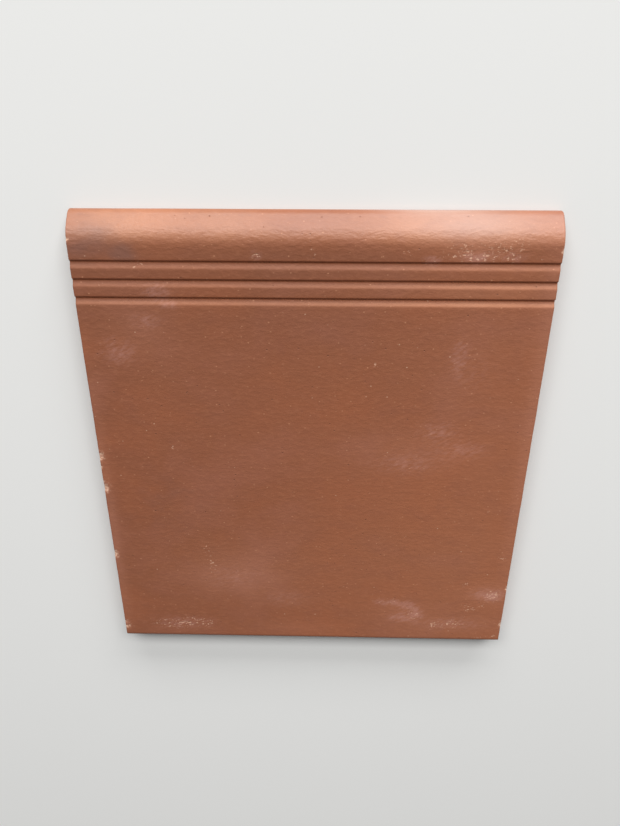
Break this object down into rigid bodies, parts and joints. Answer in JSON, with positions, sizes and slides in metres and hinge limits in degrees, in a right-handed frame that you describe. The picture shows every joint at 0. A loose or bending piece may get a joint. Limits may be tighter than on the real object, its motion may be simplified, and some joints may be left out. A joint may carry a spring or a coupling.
{
  "type": "stair tread tile",
  "caption": "Flat unglazed terracotta stair tread tile with a rounded nose, anti-slip grooves behind it and a keyed back.",
  "frame": {"origin": "on the floor under the middle of the tile, at the bottom centre of its box", "axes": "X along the nose, +Y from the plain foot edge to the rounded nose, +Z out of the tread face"},
  "size_m": [0.3, 0.33, 0.015],
  "materials": {
    "fired_clay": "unglazed, matt"
  },
  "bodies": {
    "root": {"tread_tile": "fired_clay"}
  },
  "joints": []
}
